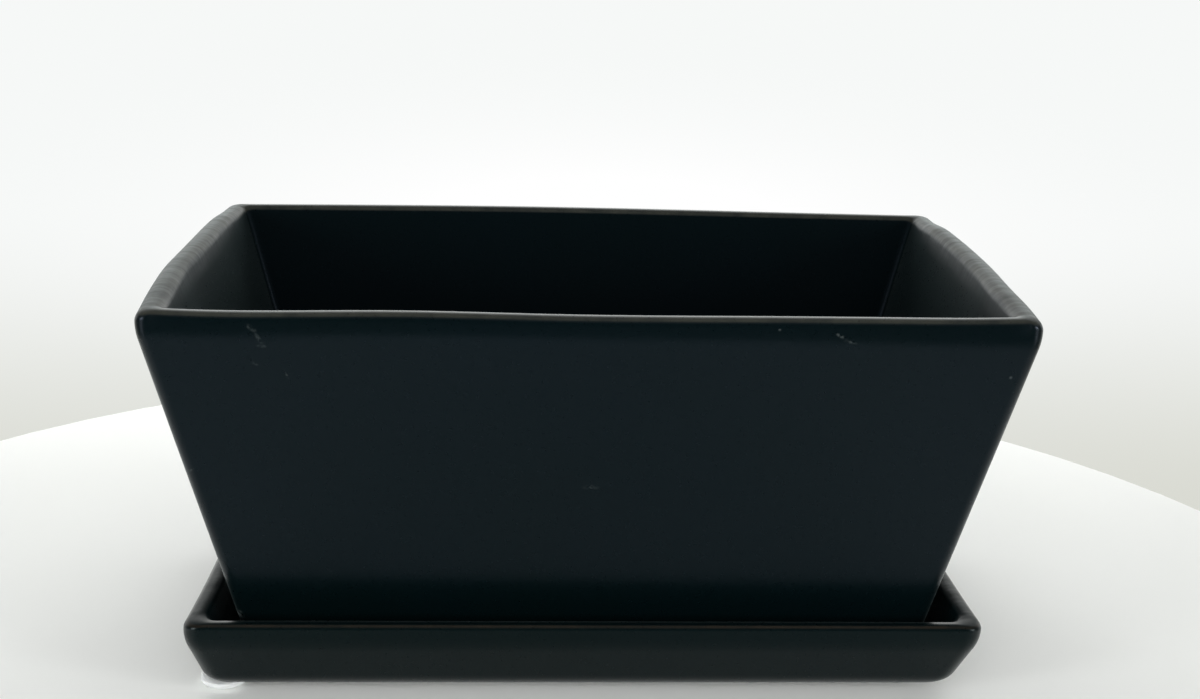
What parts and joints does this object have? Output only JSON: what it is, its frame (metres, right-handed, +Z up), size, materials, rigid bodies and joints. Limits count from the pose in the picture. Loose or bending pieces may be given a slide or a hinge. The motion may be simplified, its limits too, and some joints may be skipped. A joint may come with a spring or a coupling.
{
  "type": "bonsai pot with tray",
  "caption": "Rectangular black-glazed ceramic pot with outward leaning walls, standing loose in a matching shallow flared drip tray on small round stick-on pads.",
  "frame": {"origin": "on the table that the pads stand on, under the middle of the pot", "axes": "+X along the pot's length, +Z up out of the tray, the pictured front towards -Y"},
  "size_m": [0.2042, 0.1164, 0.0992],
  "materials": {
    "pot_glaze": "satin black glaze",
    "tray_glaze": "satin black glaze",
    "pad_silicone": "translucent white silicone"
  },
  "bodies": {
    "tray": {"tray": "tray_glaze", "pad_front_left": "pad_silicone", "pad_front_right": "pad_silicone", "pad_back_left": "pad_silicone", "pad_back_right": "pad_silicone"},
    "pot": {"pot": "pot_glaze"}
  },
  "joints": [
    {"name": "pot_lift", "type": "slide", "parent": "tray", "child": "pot", "axis": [0, 0, 1], "range_m": [0, 0.12]}
  ]
}
